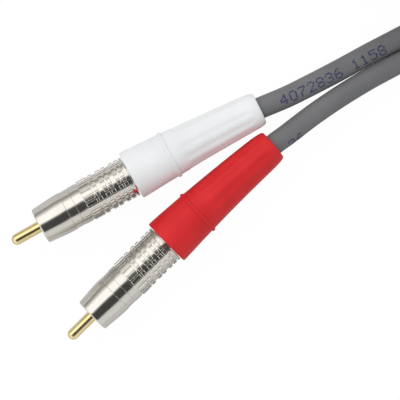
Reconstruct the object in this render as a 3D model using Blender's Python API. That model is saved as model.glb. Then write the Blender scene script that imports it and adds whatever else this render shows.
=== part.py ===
"""Stereo audio cable: two grey coaxial leads, one with white and one with red strain reliefs,
each with a phono plug at both ends. The two near plugs lie side by side. Behind them the rest of the
cable is wound into a tied hank, and the far plugs lie on it.

Lengths are in metres. X runs from the near plugs to the hank, midway between the two plugs,
and +Z is up. The origin is under the middle of the two near plugs, on the surface they lie on.
A plug's own x starts at the rim of its shell and runs towards its cable.
"""
import math

import bmesh
import bpy
from mathutils import Matrix, Vector

MM = 0.001

# General clearances
FIT = 0.25 * MM              # between a piece and the one it sits in
FACE_GAP = 0.3 * MM          # between the end of one piece and the face of the next

COARSE = 16                  # sides of the small pieces, and of the far plugs

# Centre pin
PIN_RADIUS = 1.5875 * MM
PIN_REACH = 9.0 * MM         # how far the pin stands out of the shell
PIN_TIP_LENGTH = 1.5 * MM
SOLDER_CUP_DEPTH = 3.6 * MM

# Coaxial cable
CABLE_RADIUS = 3.05 * MM
CORE_RADIUS = 1.85 * MM      # white insulation round the conductor
CONDUCTOR_RADIUS = 0.51 * MM

# Shell: the socket end, the smooth front and the knurled grip
SOCKET_RADIUS = 4.2 * MM
SOCKET_DEPTH = 8.8 * MM
RIM_RADIUS = 5.2 * MM
RIM_CHAMFER = 0.25 * MM
FLARE_LENGTH = 6.2 * MM
SMOOTH_RADIUS = 5.7 * MM
BAND_START = 8.8 * MM
BAND_WIDTH = 2.8 * MM
BAND_SINK = 0.1 * MM
KNURL_START = 14.4 * MM
KNURL_RADIUS = 5.95 * MM
KNURL_DEPTH = 0.45 * MM
KNURL_TEETH = 24
SLOT_WIDTH = 0.45 * MM
ROW_LENGTHS = [3.3 * MM, 1.2 * MM, 1.4 * MM, 1.2 * MM, 1.2 * MM, 1.2 * MM]
NARROW_GROOVE = 0.45 * MM
WIDE_GROOVE = 1.15 * MM
COLLAR_LENGTH = 0.7 * MM
SPIGOT_RADIUS = 4.6 * MM     # the step that the strain relief is pushed onto
SPIGOT_LENGTH = 4.6 * MM
BARREL_RADIUS = 2.75 * MM    # the tail that the ferrule squeezes the braid onto
BARREL_LENGTH = 4.8 * MM

# Insulator bead, ferrule
BEAD_LENGTH = 5.2 * MM
FERRULE_WALL = 0.4 * MM
FERRULE_GRIP = 4.0 * MM      # how far the ferrule reaches over the jacket

# Strain relief
BOOT_LENGTH = 40.5 * MM
BOOT_FRONT_RADIUS = 7.1 * MM
BOOT_EDGE = 0.4 * MM
BOOT_WAIST_RADIUS = 6.12 * MM
BOOT_WAIST_AT = 18.8 * MM
BOOT_END_RADIUS = 4.9 * MM
BOOT_END_ROUND = 3.0 * MM
BOOT_MOUTH_RADIUS = 4.3 * MM
RIDGE_AT = 12.2 * MM
RIDGE_HEIGHT = 0.38 * MM
RIDGE_WIDTH = 1.6 * MM
FLUTES = 12
FLUTE_START = 15.6 * MM
FLUTE_MARGIN = 3.5 * MM       # the plain stretch between the flutes and the cable's mouth
FLUTE_RUN_OUT = 1.2 * MM
FLUTE_DEPTH = 0.3 * MM

# How the near plugs lie
SPLAY = math.radians(7.7)        # each plug's turn away from the middle line
BOOT_GAP = 0.65 * MM             # between the two strain reliefs where they nearly meet
STAGGER = 3.04 * MM              # how far the red plug lies behind the white one
PAIR_END = Vector((39.9 * MM, -1.45 * MM))
WHITE_BOW = math.radians(-2.9)   # how far the soft strain reliefs bend with their cables
RED_BOW = math.radians(-4.2)

# Hank: both leads wound side by side round a long loop, white inside red, one turn on another
HANK_CENTRE = Vector((137.75 * MM, 11.72 * MM))
HANK_STRAIGHT = 35.5 * MM
INNER_FOLD = 18.6 * MM           # radius of the white lead at the loop's ends
TURN_PITCH = 6.4 * MM
LAYER_PITCH = 6.25 * MM
LAYERS = 4
CLIMB = 0.7                      # share of the last fold in which a lead climbs to its far plug
TIE_THICKNESS = 1.0 * MM
TIE_WIDTH = 9.0 * MM
TIE_CORNER = 2.5 * MM
TIE_LAP = 11.0 * MM

# Spacing of a lead's points where it is nearly straight, and where it bends into its far plug
ROUTE_STEP = 13.4 * MM
TAIL_STEP = 6.0 * MM

# Routes of the leads between the near plugs and the hank, in millimetres
WHITE_ROUTE = [(47.5, 1.85, 6.9), (54.8, 0.5, 6.4), (62.3, -0.75, 5.75), (68.1, -1.6, 5.2),
               (73.8, -2.4, 4.7), (79.3, -3.3, 4.2), (85.2, -4.26, 3.7), (90.0, -5.06, 3.35),
               (94.4, -5.7, 3.25)]
RED_ROUTE = [(41.0, -6.75, 7.0), (47.5, -6.66, 6.8), (52.0, -6.68, 6.5), (58.2, -6.95, 6.0),
             (64.2, -7.5, 5.45), (70.1, -8.27, 4.9), (75.8, -9.18, 4.4), (81.5, -10.12, 3.95),
             (88.0, -11.22, 3.5), (94.0, -12.12, 3.25), (102.1, -12.75, 3.4)]

# Places that follow from the sizes above
BORE_RADIUS = CORE_RADIUS + FIT
BEAD_START = SOCKET_DEPTH
BEAD_END = BEAD_START + BEAD_LENGTH
PIN_END = BEAD_END + FACE_GAP
CORE_START = PIN_END + FACE_GAP
GROOVES = [NARROW_GROOVE, WIDE_GROOVE, NARROW_GROOVE, WIDE_GROOVE, NARROW_GROOVE]
LAST_GROOVE = NARROW_GROOVE
KNURL_END = KNURL_START + sum(ROW_LENGTHS) + sum(GROOVES)
SHOULDER = KNURL_END + LAST_GROOVE + COLLAR_LENGTH
SPIGOT_END = SHOULDER + SPIGOT_LENGTH
BARREL_END = SPIGOT_END + BARREL_LENGTH
JACKET_START = BARREL_END + FACE_GAP
FERRULE_START = SPIGOT_END + FACE_GAP
FERRULE_END = JACKET_START + FERRULE_GRIP
FERRULE_BORE = CABLE_RADIUS + FIT
FERRULE_RADIUS = FERRULE_BORE + FERRULE_WALL
BOOT_START = SHOULDER + FACE_GAP
PLUG_END = BOOT_START + BOOT_LENGTH
AXIS_HEIGHT = BOOT_FRONT_RADIUS
OUTER_FOLD = INNER_FOLD + TURN_PITCH
MIDDLE_FOLD = (INNER_FOLD + OUTER_FOLD) / 2
FIRST_LAYER = TIE_THICKNESS + FACE_GAP + CABLE_RADIUS
LAST_LAYER = FIRST_LAYER + (LAYERS - 1) * LAYER_PITCH
HANK_TOP = LAST_LAYER + CABLE_RADIUS


def make_material(name, colour, roughness, metallic=0.0):
    material = bpy.data.materials.new(name)
    material.use_nodes = True
    shader = material.node_tree.nodes["Principled BSDF"]
    shader.inputs["Base Color"].default_value = (*colour, 1.0)
    shader.inputs["Roughness"].default_value = roughness
    shader.inputs["Metallic"].default_value = metallic
    return material


def clear_scene():
    for thing in list(bpy.data.objects):
        bpy.data.objects.remove(thing, do_unlink=True)


def axis_at(x, bow):
    """The middle line of a plug at x: straight in the metal, then an arc along the strain relief."""
    beyond = x - BOOT_START
    if beyond <= 0 or bow == 0:
        return Vector((x, 0, 0)), 0.0
    bend = bow / BOOT_LENGTH
    turn = bend * beyond
    return Vector((BOOT_START + math.sin(turn) / bend, (1 - math.cos(turn)) / bend, 0)), turn


def ring(bm, x, radii, bow=0.0, angles=None):
    """A ring of vertices round the plug's axis at x. radii has one radius for each vertex."""
    centre, turn = axis_at(x, bow)
    across = Vector((-math.sin(turn), math.cos(turn), 0))
    angles = angles or [2 * math.pi * i / len(radii) for i in range(len(radii))]
    return [bm.verts.new(centre + radius * (across * math.cos(a) + Vector((0, 0, math.sin(a)))))
            for radius, a in zip(radii, angles)]


def circle(bm, x, radius, count, bow=0.0):
    return ring(bm, x, [radius] * count, bow)


def strip(bm, first, second):
    """Faces between two rings whose counts are equal, or one a multiple of the other."""
    fine, coarse = (first, second) if len(first) >= len(second) else (second, first)
    step = len(fine) // len(coarse)
    for i, vertex in enumerate(coarse):
        near = [fine[(i * step + k) % len(fine)] for k in range(step + 1)]
        corners = [vertex] if len(coarse) == 1 else [coarse[(i + 1) % len(coarse)], vertex]
        if len(coarse) == 1:
            for k in range(step):
                bm.faces.new([vertex, fine[k], fine[(k + 1) % len(fine)]])
        else:
            bm.faces.new(near + corners)


def lathe(bm, stations, count, bow=0.0):
    """Turned rings joined by strips: stations are (x, radius), a radius of 0 makes a pole."""
    rings = [[bm.verts.new(axis_at(x, bow)[0])] if radius == 0 else circle(bm, x, radius, count, bow)
             for x, radius in stations]
    for first, second in zip(rings, rings[1:]):
        strip(bm, first, second)
    return rings


def finish(bm, name, material, place, parent, sharp=35):
    """One closed mesh becomes a named object at its place."""
    bmesh.ops.recalc_face_normals(bm, faces=bm.faces)
    mesh = bpy.data.meshes.new(name)
    bm.to_mesh(mesh)
    bm.free()
    mesh.shade_smooth()
    mesh.set_sharp_from_angle(angle=math.radians(sharp))
    mesh.materials.append(material)
    thing = bpy.data.objects.new(name, mesh)
    bpy.context.scene.collection.objects.link(thing)
    thing.parent = parent
    thing.matrix_local = place
    return thing


def turned_tube(name, stations, count, material, place, parent, bow=0.0):
    """A turned piece with a hole through it: its section is a closed loop of stations."""
    bm = bmesh.new()
    rings = lathe(bm, stations, count, bow)
    strip(bm, rings[-1], rings[0])
    return finish(bm, name, material, place, parent)


def make_pin(name, count, material, place, parent):
    """The gold centre pin: a round nose, a straight shank and a solder cup at the back."""
    nose = []
    steps = 3
    for i in range(steps + 1):
        angle = math.pi / 2 * i / steps
        nose.append((-PIN_REACH + PIN_TIP_LENGTH * (1 - math.cos(angle)), PIN_RADIUS * math.sin(angle)))
    cup_radius = CONDUCTOR_RADIUS + FIT
    cup_floor = PIN_END - SOLDER_CUP_DEPTH
    stations = nose + [(PIN_END, PIN_RADIUS), (PIN_END, cup_radius), (cup_floor, cup_radius), (cup_floor, 0)]
    bm = bmesh.new()
    lathe(bm, stations, count)
    return finish(bm, name, material, place, parent)


def toothed_ring(bm, x):
    """A ring across the knurl: for each tooth the slot's bottom and the two edges of the land."""
    pitch = 2 * math.pi / KNURL_TEETH
    half_slot = SLOT_WIDTH / KNURL_RADIUS / 2
    root = KNURL_RADIUS - KNURL_DEPTH
    radii = [root, KNURL_RADIUS, KNURL_RADIUS] * KNURL_TEETH
    angles = []
    for i in range(KNURL_TEETH):
        angles += [i * pitch, i * pitch + half_slot, (i + 1) * pitch - half_slot]
    return ring(bm, x, radii, angles=angles)


def knurl_wall(bm, toothed):
    """The flat end of a knurled row, and its slot bottoms, which the next groove starts from."""
    for i in range(0, len(toothed), 3):
        bm.faces.new([toothed[i], toothed[i + 1], toothed[i + 2], toothed[(i + 3) % len(toothed)]])
    return toothed[::3]


def make_shell(name, fine, material, place, parent):
    """The turned body: socket, flared front, sunk band, knurled grip, spigot and crimp barrel."""
    teeth = KNURL_TEETH if fine else COARSE
    smooth = 2 * teeth if fine else teeth
    band_end = BAND_START + BAND_WIDTH
    root = KNURL_RADIUS - KNURL_DEPTH
    bm = bmesh.new()
    socket_mouth = circle(bm, 0, SOCKET_RADIUS, teeth)
    outside = lathe(bm, [(0, RIM_RADIUS - RIM_CHAMFER), (RIM_CHAMFER, RIM_RADIUS),
                         (FLARE_LENGTH, SMOOTH_RADIUS), (BAND_START, SMOOTH_RADIUS),
                         (BAND_START + BAND_SINK, SMOOTH_RADIUS - BAND_SINK),
                         (band_end - BAND_SINK, SMOOTH_RADIUS - BAND_SINK), (band_end, SMOOTH_RADIUS),
                         (KNURL_START - NARROW_GROOVE, SMOOTH_RADIUS)], smooth)
    strip(bm, outside[0], socket_mouth)
    below = circle(bm, KNURL_START - NARROW_GROOVE, root, teeth)
    strip(bm, outside[-1], below)
    x = KNURL_START
    rows = list(zip(ROW_LENGTHS, GROOVES + [LAST_GROOVE]))
    if fine:
        for length, groove in rows:
            first = toothed_ring(bm, x)
            last = toothed_ring(bm, x + length)
            strip(bm, below, knurl_wall(bm, first))
            strip(bm, first, last)
            below = knurl_wall(bm, last)
            x += length + groove
    else:
        for i in range(0, len(rows), 2):
            length = rows[i][0] + rows[i][1] + rows[i + 1][0]
            band = lathe(bm, [(x, root), (x, KNURL_RADIUS), (x + length, KNURL_RADIUS),
                              (x + length, root)], teeth)
            strip(bm, below, band[0])
            below = band[-1]
            x += length + rows[i + 1][1]
    collar = lathe(bm, [(x, root), (x, KNURL_RADIUS), (SHOULDER, KNURL_RADIUS), (SHOULDER, SPIGOT_RADIUS),
                        (SPIGOT_END, SPIGOT_RADIUS)], teeth)
    barrel = lathe(bm, [(SPIGOT_END, BARREL_RADIUS), (BARREL_END, BARREL_RADIUS), (BARREL_END, BORE_RADIUS),
                        (BEAD_END, BORE_RADIUS)], teeth // 2)
    socket_floor = circle(bm, BEAD_END, SOCKET_RADIUS, teeth)
    strip(bm, below, collar[0])
    strip(bm, collar[-1], barrel[0])
    strip(bm, barrel[-1], socket_floor)
    strip(bm, socket_floor, socket_mouth)
    return finish(bm, name, material, place, parent)


def boot_radius(x):
    """The outside of the strain relief at x from its front: a taper that eases at its waist."""
    front = BOOT_EDGE
    end = BOOT_LENGTH - BOOT_END_ROUND
    if x < BOOT_WAIST_AT:
        share = (x - front) / (BOOT_WAIST_AT - front)
        return BOOT_FRONT_RADIUS + (BOOT_WAIST_RADIUS - BOOT_FRONT_RADIUS) * share
    share = (x - BOOT_WAIST_AT) / (end - BOOT_WAIST_AT)
    return BOOT_WAIST_RADIUS + (BOOT_END_RADIUS + 0.3 * MM - BOOT_WAIST_RADIUS) * share


def make_boot(name, fine, flute_phase, bow, material, place, parent):
    """The moulded strain relief, with a ridge round it and shallow flutes along its tail."""
    count = 2 * FLUTES if fine else COARSE
    half_ridge = RIDGE_WIDTH / 2
    plain = [(0, BOOT_FRONT_RADIUS - BOOT_EDGE), (BOOT_EDGE, BOOT_FRONT_RADIUS)]
    for dx, rise in [(-half_ridge, 0), (-0.35 * half_ridge, RIDGE_HEIGHT), (0.35 * half_ridge, RIDGE_HEIGHT),
                     (half_ridge, 0)]:
        plain.append((RIDGE_AT + dx, boot_radius(RIDGE_AT + dx) + rise))
    flute_end = BOOT_LENGTH - FLUTE_MARGIN
    fluted = [(FLUTE_START, 0), (FLUTE_START + FLUTE_RUN_OUT, FLUTE_DEPTH), (BOOT_WAIST_AT, FLUTE_DEPTH),
              (flute_end - FLUTE_RUN_OUT, FLUTE_DEPTH), (flute_end, 0)]
    rounded = [(BOOT_LENGTH - 0.35 * BOOT_END_ROUND, BOOT_END_RADIUS),
               (BOOT_LENGTH - 0.08 * BOOT_END_ROUND, (BOOT_END_RADIUS + BOOT_MOUTH_RADIUS) / 2),
               (BOOT_LENGTH, BOOT_MOUTH_RADIUS)]
    mouth = CABLE_RADIUS + 2 * FIT
    cavity = FERRULE_RADIUS + 2 * FIT
    spigot_bore = SPIGOT_RADIUS + FIT
    spigot_floor = SPIGOT_END + FACE_GAP / 2 - BOOT_START
    ferrule_floor = FERRULE_END + FACE_GAP - BOOT_START
    narrow = [(BOOT_LENGTH, mouth), (ferrule_floor + cavity - mouth, mouth), (ferrule_floor, cavity),
              (spigot_floor, cavity)]
    bm = bmesh.new()
    rings = [circle(bm, BOOT_START + x, radius, count, bow) for x, radius in plain]
    for x, depth in fluted if fine else fluted[::4]:
        dip = [depth if i % 2 == flute_phase else 0 for i in range(count)]
        rings.append(ring(bm, BOOT_START + x, [boot_radius(x) - d for d in dip], bow))
    rings += [circle(bm, BOOT_START + x, radius, count, bow) for x, radius in rounded]
    sides = FLUTES if fine else COARSE
    rings += [circle(bm, BOOT_START + x, radius, sides, bow) for x, radius in narrow]
    rings += [circle(bm, BOOT_START + x, spigot_bore, count, bow) for x in (spigot_floor, 0)]
    for first, second in zip(rings, rings[1:] + rings[:1]):
        strip(bm, first, second)
    return finish(bm, name, material, place, parent, sharp=28)


def make_plug(prefix, fine, flute_phase, bow, boot_material, finishes, place, parent):
    """All the pieces of one plug, from the pin back to the strain relief."""
    count = COARSE if fine else 12
    bead_count = KNURL_TEETH if fine else count
    make_pin(prefix + "_pin", count, finishes["gold"], place, parent)
    bead_bore = PIN_RADIUS + FIT
    bead_radius = SOCKET_RADIUS - FIT
    bead_back = BEAD_END - FACE_GAP
    turned_tube(prefix + "_insulator", [(BEAD_START, bead_bore), (BEAD_START, bead_radius),
                                        (bead_back, bead_radius), (bead_back, bead_bore)],
                bead_count, finishes["bead"], place, parent)
    make_shell(prefix + "_shell", fine, finishes["nickel"], place, parent)
    conductor_bore = CONDUCTOR_RADIUS + FIT
    turned_tube(prefix + "_core", [(CORE_START, conductor_bore), (CORE_START, CORE_RADIUS),
                                   (BARREL_END, CORE_RADIUS), (BARREL_END, conductor_bore)],
                count, finishes["core"], place, parent)
    bm = bmesh.new()
    cup_floor = PIN_END - SOLDER_CUP_DEPTH
    lathe(bm, [(cup_floor + FACE_GAP, 0), (cup_floor + FACE_GAP, CONDUCTOR_RADIUS),
               (BARREL_END, CONDUCTOR_RADIUS), (BARREL_END, 0)], 8)
    finish(bm, prefix + "_conductor", finishes["copper"], place, parent)
    turned_tube(prefix + "_ferrule", [(FERRULE_START, FERRULE_BORE), (FERRULE_START, FERRULE_RADIUS),
                                      (FERRULE_END, FERRULE_RADIUS), (FERRULE_END, FERRULE_BORE)],
                bead_count, finishes["nickel"], place, parent)
    make_boot(prefix + "_boot", fine, flute_phase, bow, boot_material, place, parent)


def near_place(end, angle, bow):
    """Where a near plug's frame goes, so that its bent strain relief ends at a given point."""
    tip, _ = axis_at(PLUG_END, bow)
    turned = Matrix.Rotation(angle, 3, "Z") @ tip
    corner = Vector((end.x - turned.x, end.y - turned.y, AXIS_HEIGHT))
    return Matrix.Translation(corner) @ Matrix.Rotation(angle, 4, "Z")


def far_axis_height():
    """How high the far plugs' middle lines are: they lie on the hank and on the straps round it."""
    on_hank = HANK_TOP + FACE_GAP + BOOT_FRONT_RADIUS
    on_strap = HANK_TOP + 2 * FACE_GAP + TIE_THICKNESS + boot_radius(BOOT_LENGTH - HANK_STRAIGHT / 2)
    return max(on_hank, on_strap)


def far_place(side):
    """Where a far plug's frame goes: on one side of the hank, its mouth where that side begins."""
    angle = math.pi if side < 0 else 0.0
    reach = side * (HANK_STRAIGHT / 2 - PLUG_END)
    at = (HANK_CENTRE.x + reach, HANK_CENTRE.y + side * MIDDLE_FOLD, far_axis_height())
    return Matrix.Translation(at) @ Matrix.Rotation(angle, 4, "Z")


def inside_boot(place, bow):
    """Points of the cable from the end of the crimp barrel to the mouth of the strain relief."""
    steps = 5
    xs = [JACKET_START + (PLUG_END - JACKET_START) * i / steps for i in range(steps + 1)]
    return [place @ axis_at(x, bow)[0] for x in xs]


def smooth_route(points, spacing):
    """Points at an even spacing along a smooth curve through the given ones."""
    ends = [2 * points[0] - points[1]] + points + [2 * points[-1] - points[-2]]
    fine = []
    for a, b, c, d in zip(ends, ends[1:], ends[2:], ends[3:]):
        for k in range(12):
            t = k / 12
            fine.append(0.5 * (2 * b + (c - a) * t + (2 * a - 5 * b + 4 * c - d) * t * t
                               + (3 * b - a - 3 * c + d) * t * t * t))
    fine.append(points[-1])
    total = sum((q - p).length for p, q in zip(fine, fine[1:]))
    pieces = max(2, round(total / spacing))
    result, walked, target = [fine[0]], 0.0, total / pieces
    for p, q in zip(fine, fine[1:]):
        step = (q - p).length
        while len(result) < pieces and walked + step >= target * len(result):
            result.append(p.lerp(q, (target * len(result) - walked) / step))
        walked += step
    return result + [fine[-1]]


def make_tube(name, points, spacing, material, parent):
    """A plain length of cable through the points, with flat ends."""
    curve = bpy.data.curves.new(name, "CURVE")
    curve.dimensions = "3D"
    curve.bevel_depth = CABLE_RADIUS
    curve.bevel_resolution = 4
    curve.use_fill_caps = True
    points = smooth_route(points, spacing)
    spline = curve.splines.new("POLY")
    spline.points.add(len(points) - 1)
    for target, point in zip(spline.points, points):
        target.co = (*point, 1.0)
    curve.materials.append(material)
    thing = bpy.data.objects.new(name, curve)
    bpy.context.scene.collection.objects.link(thing)
    thing.parent = parent
    return thing


def make_coil(name, fold, material, parent):
    """The outer shape of one lead's turns in the hank: a long loop, one turn wide, as high as its turns."""
    heights = [FIRST_LAYER + i * LAYER_PITCH for i in range(LAYERS)]
    section = []
    for side, turns in ((0, heights), (180, heights[::-1])):
        for height in turns:
            for a in (math.radians(side - 50), math.radians(side), math.radians(side + 50)):
                section.append((fold + CABLE_RADIUS * math.cos(a), height + CABLE_RADIUS * math.sin(a)))
        section.append((fold, turns[-1] + (CABLE_RADIUS if side == 0 else -CABLE_RADIUS)))
    steps = 8
    ends = [(HANK_STRAIGHT / 2, -90), (-HANK_STRAIGHT / 2, 90)]
    bm = bmesh.new()
    rings = []
    for middle, start in ends:
        for i in range(steps + 1):
            a = math.radians(start + 180 * i / steps)
            rings.append([bm.verts.new((middle + r * math.cos(a), r * math.sin(a), z)) for r, z in section])
    for first, second in zip(rings, rings[1:] + rings[:1]):
        strip(bm, first, second)
    return finish(bm, name, material, Matrix.Translation((*HANK_CENTRE, 0)), parent, sharp=60)


def climbing_tail(fold, start, end_x):
    """Points of a lead from where it is clear of the hank's top up to the mouth of its far plug."""
    points = []
    for i in range(7):
        share = 0.6 + 0.4 * i / 6
        rise = share * share * (3 - 2 * share)
        radius = fold + (MIDDLE_FOLD - fold) * rise
        a = math.radians(start + 180 * (1 - CLIMB * (1 - share)))
        x = HANK_CENTRE.x + end_x + radius * math.cos(a)
        y = HANK_CENTRE.y + radius * math.sin(a)
        points.append(Vector((x, y, LAST_LAYER + (far_axis_height() - LAST_LAYER) * rise)))
    return points


def make_tie(name, angle, material, parent):
    """A strap round one side of the hank, lapped over itself on the outside."""
    half = TIE_WIDTH / 2
    inner = INNER_FOLD - CABLE_RADIUS - FACE_GAP
    outer = OUTER_FOLD + CABLE_RADIUS + FACE_GAP
    low = TIE_THICKNESS
    high = HANK_TOP + FACE_GAP
    middle = (low + high) / 2
    loop, skin = [], []
    corners = [(inner, low, 180), (outer, low, 270), (outer, high, 0), (inner, high, 90)]
    for x, z, start in corners:
        cx = x + (TIE_CORNER if x == inner else -TIE_CORNER)
        cz = z + (TIE_CORNER if z == low else -TIE_CORNER)
        for turn in (0, 45, 90):
            a = math.radians(start + turn)
            loop.append((cx + TIE_CORNER * math.cos(a), cz + TIE_CORNER * math.sin(a)))
            reach = TIE_CORNER + TIE_THICKNESS
            skin.append((cx + reach * math.cos(a), cz + reach * math.sin(a)))
    lap = outer + 2 * TIE_THICKNESS
    skin[6:6] = [(outer + TIE_THICKNESS, middle - TIE_LAP / 2), (lap, middle - TIE_LAP / 2 + TIE_THICKNESS),
                 (lap, middle + TIE_LAP / 2 - TIE_THICKNESS), (outer + TIE_THICKNESS, middle + TIE_LAP / 2)]
    loop[6:6] = [(outer, z) for _, z in skin[6:10]]
    bm = bmesh.new()
    rings = [[bm.verts.new((x, y, z)) for x, z in line]
             for line, y in ((loop, -half), (skin, -half), (skin, half), (loop, half))]
    for first, second in zip(rings, rings[1:] + rings[:1]):
        strip(bm, first, second)
    place = Matrix.Translation((*HANK_CENTRE, 0)) @ Matrix.Rotation(angle, 4, "Z")
    return finish(bm, name, material, place, parent)


def stand_on_origin(layout, things):
    """Moves everything so that the near plugs' box is centred on the origin and stands on z = 0."""
    bpy.context.view_layer.update()
    corners = [thing.matrix_world @ vertex.co for thing in things for vertex in thing.data.vertices]
    low = [min(c[i] for c in corners) for i in range(3)]
    high = [max(c[i] for c in corners) for i in range(3)]
    layout.location = (-(low[0] + high[0]) / 2, -(low[1] + high[1]) / 2, -low[2])


def build():
    clear_scene()
    finishes = {
        "gold": make_material("gold_plate", (0.83, 0.58, 0.20), 0.22, 1.0),
        "nickel": make_material("nickel_plate", (0.70, 0.67, 0.62), 0.25, 1.0),
        "copper": make_material("bare_copper", (0.80, 0.42, 0.27), 0.35, 1.0),
        "bead": make_material("bead_plastic", (0.85, 0.85, 0.83), 0.45),
        "core": make_material("core_foam", (0.88, 0.88, 0.88), 0.6),
        "jacket": make_material("grey_jacket", (0.155, 0.155, 0.165), 0.5),
        "white": make_material("white_boot_plastic", (0.86, 0.86, 0.88), 0.5),
        "red": make_material("red_boot_plastic", (0.62, 0.02, 0.025), 0.5),
        "strap": make_material("strap_fabric", (0.02, 0.02, 0.022), 0.85),
    }
    layout = bpy.data.objects.new("layout", None)
    bpy.context.scene.collection.objects.link(layout)

    spacing = 2 * BOOT_END_RADIUS + BOOT_GAP
    white_end = PAIR_END + Vector((0, spacing / 2))
    red_end = PAIR_END + Vector((-STAGGER, -spacing / 2))
    white = near_place(white_end, -SPLAY, WHITE_BOW)
    red = near_place(red_end, SPLAY, RED_BOW)
    far_white = far_place(-1)
    far_red = far_place(1)

    make_plug("white", True, 0, WHITE_BOW, finishes["white"], finishes, white, layout)
    make_plug("red", True, 1, RED_BOW, finishes["red"], finishes, red, layout)
    near = [thing for thing in bpy.data.objects if thing.type == "MESH"]
    make_plug("far_white", False, 0, 0.0, finishes["white"], finishes, far_white, layout)
    make_plug("far_red", False, 0, 0.0, finishes["red"], finishes, far_red, layout)

    near_leads = [("white_cable", white, WHITE_BOW, WHITE_ROUTE), ("red_cable", red, RED_BOW, RED_ROUTE)]
    for name, place, bow, route in near_leads:
        points = inside_boot(place, bow) + [Vector(point) * MM for point in route]
        make_tube(name, points, ROUTE_STEP, finishes["jacket"], layout)
    tails = [("white_tail", far_white, climbing_tail(INNER_FOLD, 90, -HANK_STRAIGHT / 2)),
             ("red_tail", far_red, climbing_tail(OUTER_FOLD, -90, HANK_STRAIGHT / 2))]
    for name, place, tail in tails:
        make_tube(name, inside_boot(place, 0.0)[:-1] + tail[::-1], TAIL_STEP, finishes["jacket"], layout)
    make_coil("white_coil", INNER_FOLD, finishes["jacket"], layout)
    make_coil("red_coil", OUTER_FOLD, finishes["jacket"], layout)
    make_tie("coil_tie_1", math.radians(-90), finishes["strap"], layout)
    make_tie("coil_tie_2", math.radians(90), finishes["strap"], layout)
    stand_on_origin(layout, near)


build()
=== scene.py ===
"""A stereo audio cable: two grey coaxial leads with knurled phono plugs, one pair lying side by
side in front and the rest of the cable wound into a tied hank behind them."""
from math import cos, pi, radians, sin, sqrt

import bpy
import numpy as np
from mathutils import Matrix, Vector


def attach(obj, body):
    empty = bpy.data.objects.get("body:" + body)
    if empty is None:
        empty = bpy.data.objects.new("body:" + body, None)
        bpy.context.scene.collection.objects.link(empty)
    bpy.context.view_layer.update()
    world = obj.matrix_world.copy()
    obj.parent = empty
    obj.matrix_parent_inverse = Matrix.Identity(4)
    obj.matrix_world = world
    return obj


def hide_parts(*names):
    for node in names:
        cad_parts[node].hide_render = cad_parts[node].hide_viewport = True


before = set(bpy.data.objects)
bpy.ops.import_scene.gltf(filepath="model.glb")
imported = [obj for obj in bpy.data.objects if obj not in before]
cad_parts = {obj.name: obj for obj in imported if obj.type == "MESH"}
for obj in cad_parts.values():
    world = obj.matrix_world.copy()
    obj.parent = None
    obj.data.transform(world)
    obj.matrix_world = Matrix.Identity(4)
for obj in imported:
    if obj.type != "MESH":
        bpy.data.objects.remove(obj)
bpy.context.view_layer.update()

# Centre pins
# Brass rods turned with a round nose and a solder cup at the back, then gold-plated. Each is pressed
# into the bead in its shell and stands 9 mm out of it. Sizes are in mm, x from the shell's rim.
MM = 0.001
LAYOUT_SHIFT = Vector((0.202, 0.2058, 0.0))   # the near plugs' box is centred on the origin
BOOT_START, BOOT_LENGTH = 29.0, 40.5
PLUG_END = BOOT_START + BOOT_LENGTH
AXIS_HEIGHT, FAR_HEIGHT = 7.1, 33.676
HANK_X, HANK_Y, HANK_STRAIGHT = 137.75, 11.72, 35.5
INNER_FOLD, OUTER_FOLD = 18.6, 25.0
MIDDLE_FOLD = (INNER_FOLD + OUTER_FOLD) / 2


def plug_axis(x, bow):
    """The plug's middle line at x mm from the shell's rim: straight, then bent with the soft boot."""
    bend = bow / BOOT_LENGTH
    turn = bend * np.clip(x - BOOT_START, 0, None)
    if bow == 0:
        return x, 0 * x, turn
    along = np.minimum(x, BOOT_START) + np.sin(turn) / bend
    return along, (1 - np.cos(turn)) / bend, turn


def near_plug(end, angle, bow):
    """A plug on the table, from where its boot ends, the way it points and the bow of its boot."""
    along, across, _ = plug_axis(np.array(PLUG_END), bow)
    tip = Matrix.Rotation(angle, 3, "Z") @ Vector((along, across, 0))
    start = Vector((end[0] - tip.x, end[1] - tip.y, AXIS_HEIGHT)) + LAYOUT_SHIFT
    return Matrix.Translation(start) @ Matrix.Rotation(angle, 4, "Z"), bow


def far_plug(side):
    """A far plug lies on one side of the hank, and its mouth is where that side begins."""
    start = Vector((HANK_X + side * (HANK_STRAIGHT / 2 - PLUG_END), HANK_Y + side * MIDDLE_FOLD,
                    FAR_HEIGHT))
    turned = Matrix.Rotation(pi if side < 0 else 0.0, 4, "Z")
    return Matrix.Translation(start + LAYOUT_SHIFT) @ turned, 0.0


plugs = {"white": near_plug((39.9, 3.775), radians(-7.7), radians(-2.9)),
         "red": near_plug((36.86, -6.675), radians(7.7), radians(-4.2)),
         "far_white": far_plug(-1),
         "far_red": far_plug(1)}


def set_in_plug(points, plug):
    """Points given along, across and above a plug's straight middle line, moved to where it lies."""
    place, bow = plugs[plug]
    x, y, z = np.asarray(points, float).T
    along, across, turn = plug_axis(x, bow)
    bent = np.column_stack([along - y * np.sin(turn), across + y * np.cos(turn), z, np.ones(len(x))])
    return (bent @ np.array(place).T)[:, :3] * MM


def add_piece(name, mesh):
    """A mesh put into the scene as a piece and the body it rides on."""
    piece = bpy.data.objects.new(name, mesh)
    bpy.context.scene.collection.objects.link(piece)
    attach(piece, "root")
    return piece


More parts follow.
